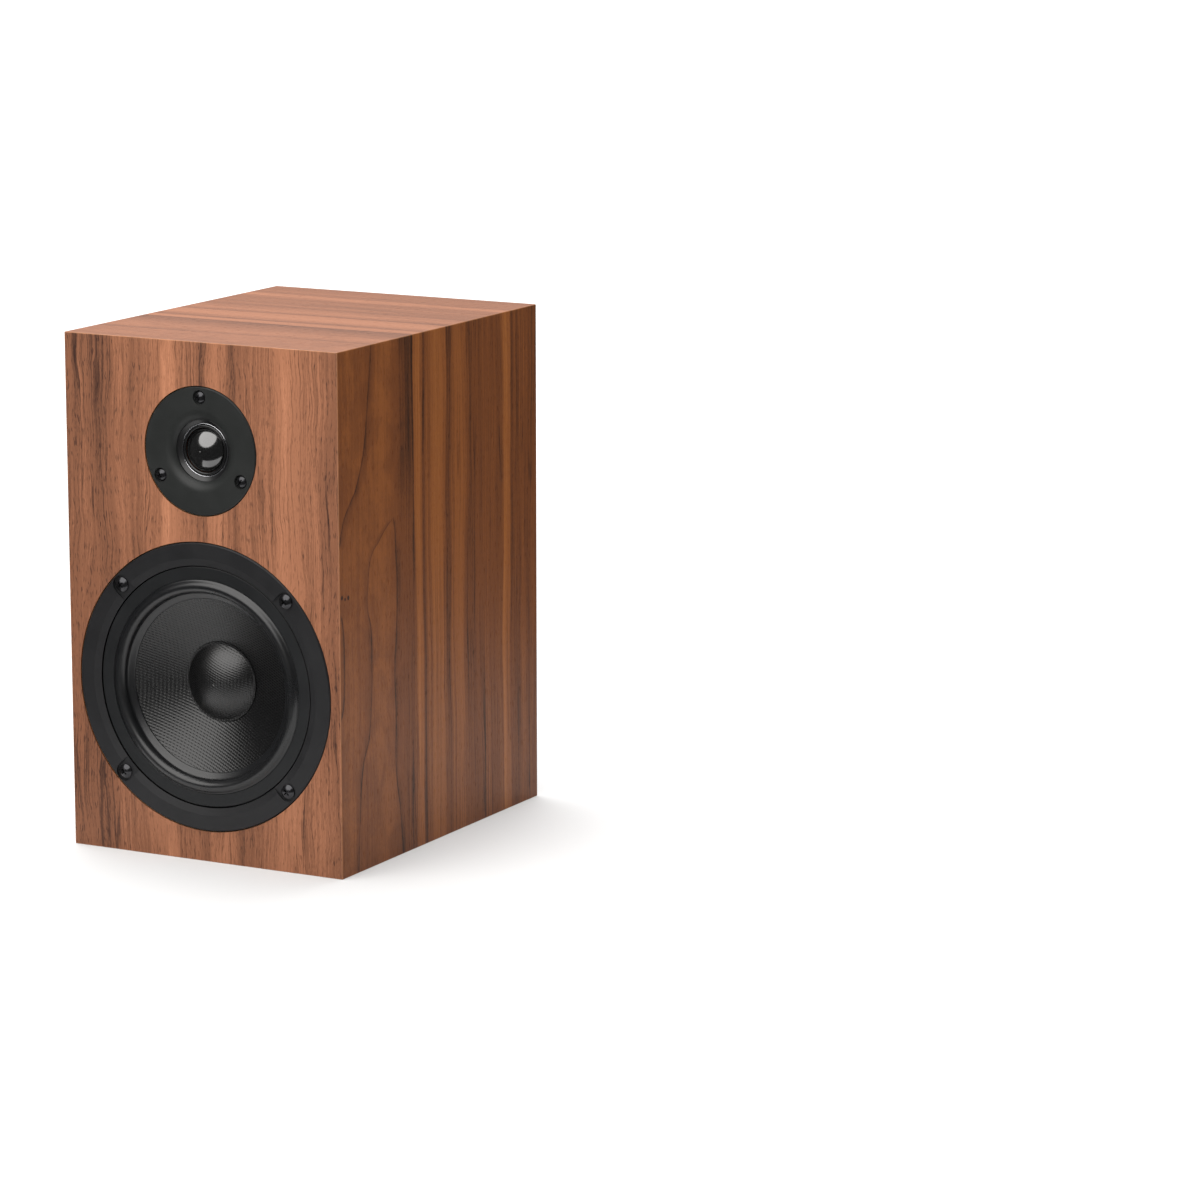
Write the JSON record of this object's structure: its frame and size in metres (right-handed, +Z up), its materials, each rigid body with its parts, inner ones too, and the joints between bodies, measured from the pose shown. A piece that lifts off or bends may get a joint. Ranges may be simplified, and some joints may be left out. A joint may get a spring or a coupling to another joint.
{
  "type": "bookshelf speaker",
  "caption": "Compact two-way bookshelf loudspeaker in a mitred walnut-veneered cabinet with a woven cone woofer, dome tweeter, rear reflex port and screw-down terminals.",
  "frame": {"origin": "centre of the cabinet's underside, on the surface it stands on", "axes": "+Z up, -Y out of the front baffle, +X to the right as the front is faced"},
  "size_m": [0.181, 0.2353, 0.3],
  "materials": {
    "walnut_veneer": "satin lacquered walnut veneer on fibreboard",
    "black_board": "matt black lacquer on fibreboard",
    "bare_board": "bare fibreboard",
    "wadding": "white polyester wadding",
    "black_plastic": "satin",
    "satin_black_metal": "satin black",
    "foam": "closed-cell foam",
    "black_rubber": "smooth, slightly glossy",
    "black_weave": "woven, lightly coated",
    "aluminium_tube": "plain",
    "copper_winding": "enamelled copper wire",
    "amber_cloth": "resin-dipped cotton",
    "zinc_steel": "zinc plated",
    "ferrite": "dark grey ceramic magnet",
    "fibre_board": "fibre board with brass blades",
    "black_screw": "glossy black",
    "bright_metal": "polished",
    "black_silk": "coated silk, glossy",
    "felt": "wool felt",
    "circuit_board": "glass-fibre laminate",
    "white_nylon": "nylon",
    "capacitor_film": "taped film",
    "ceramic_block": "ceramic",
    "lead_insulation": "soft plastic insulation, red on one lead and black on the other",
    "braided_copper": "braided copper",
    "gold_plated_brass": "gold plated",
    "red_plastic": "glossy",
    "knob_black_plastic": "glossy"
  },
  "bodies": {
    "cabinet": {"front_baffle": "walnut_veneer", "left_panel": "walnut_veneer", "right_panel": "walnut_veneer", "top_panel": "walnut_veneer", "bottom_panel": "walnut_veneer", "back_panel": "black_board", "window_brace": "bare_board", "wadding_left": "wadding", "wadding_right": "wadding", "wadding_top": "wadding", "port_tube": "black_plastic", "woofer_trim_ring": "black_plastic", "tweeter_clamp_ring": "black_plastic", "tweeter_rear_cup": "black_plastic", "terminal_cup": "black_plastic", "woofer_basket": "satin_black_metal", "tweeter_faceplate": "satin_black_metal", "woofer_gasket": "foam", "tweeter_gasket": "foam", "terminal_cup_gasket": "foam", "woofer_surround": "black_rubber", "woofer_spider": "amber_cloth", "woofer_top_plate": "zinc_steel", "woofer_yoke": "zinc_steel", "tweeter_top_plate": "zinc_steel", "tweeter_yoke": "zinc_steel", "crossover_screws": "zinc_steel", "woofer_magnet": "ferrite", "tweeter_magnet": "ferrite", "woofer_terminal_strip": "fibre_board", "tweeter_terminals": "fibre_board", "woofer_screws": "black_screw", "tweeter_screws": "black_screw", "terminal_cup_screws": "black_screw", "tweeter_bright_ring": "bright_metal", "tweeter_surround": "black_silk", "tweeter_felt": "felt", "crossover_board": "circuit_board", "crossover_standoffs": "white_nylon", "woofer_inductor": "copper_winding", "tweeter_inductor": "copper_winding", "capacitors": "capacitor_film", "resistor": "ceramic_block", "input_wires": "lead_insulation", "woofer_wires": "lead_insulation", "tweeter_wires": "lead_insulation", "woofer_tinsel_leads": "braided_copper", "post_stud_red": "gold_plated_brass", "post_stud_black": "gold_plated_brass", "post_nuts": "gold_plated_brass"},
    "woofer_motion": {"woofer_cone": "black_weave", "woofer_dust_cap": "black_weave", "woofer_former": "aluminium_tube", "woofer_voice_coil": "copper_winding"},
    "tweeter_motion": {"tweeter_dome": "black_silk", "tweeter_voice_coil": "copper_winding"},
    "clamp_red": {"clamp_washer_red": "gold_plated_brass"},
    "clamp_black": {"clamp_washer_black": "gold_plated_brass"},
    "knob_red_body": {"knob_red": "red_plastic"},
    "knob_black_body": {"knob_black": "knob_black_plastic"}
  },
  "joints": [
    {"name": "woofer_travel", "type": "slide", "parent": "cabinet", "child": "woofer_motion", "axis": [0, 1, 0], "range_m": [-0.004, 0.004], "stiffness_N_per_m": 1000, "deforming": ["woofer_surround", "woofer_spider", "woofer_tinsel_leads"]},
    {"name": "tweeter_travel", "type": "slide", "parent": "cabinet", "child": "tweeter_motion", "axis": [0, 1, 0], "range_m": [-0.0005, 0.0005], "stiffness_N_per_m": 400, "deforming": ["tweeter_surround"]},
    {"name": "clamp_slide_red", "type": "slide", "parent": "cabinet", "child": "clamp_red", "axis": [0, 1, 0], "range_m": [0, 0.004]},
    {"name": "knob_turn_red", "type": "hinge", "parent": "clamp_red", "child": "knob_red_body", "pos_m": [0.0095, 0.1, 0.06], "axis": [0, 1, 0], "range_deg": [0, 1440]},
    {"name": "clamp_slide_black", "type": "slide", "parent": "cabinet", "child": "clamp_black", "axis": [0, 1, 0], "range_m": [0, 0.004]},
    {"name": "knob_turn_black", "type": "hinge", "parent": "clamp_black", "child": "knob_black_body", "pos_m": [-0.0095, 0.1, 0.06], "axis": [0, 1, 0], "range_deg": [0, 1440]}
  ],
  "couplings": [
    {"joint": "knob_turn_red", "follows": "clamp_slide_red", "rad_per_m": 6283.2},
    {"joint": "knob_turn_black", "follows": "clamp_slide_black", "rad_per_m": 6283.2}
  ]
}
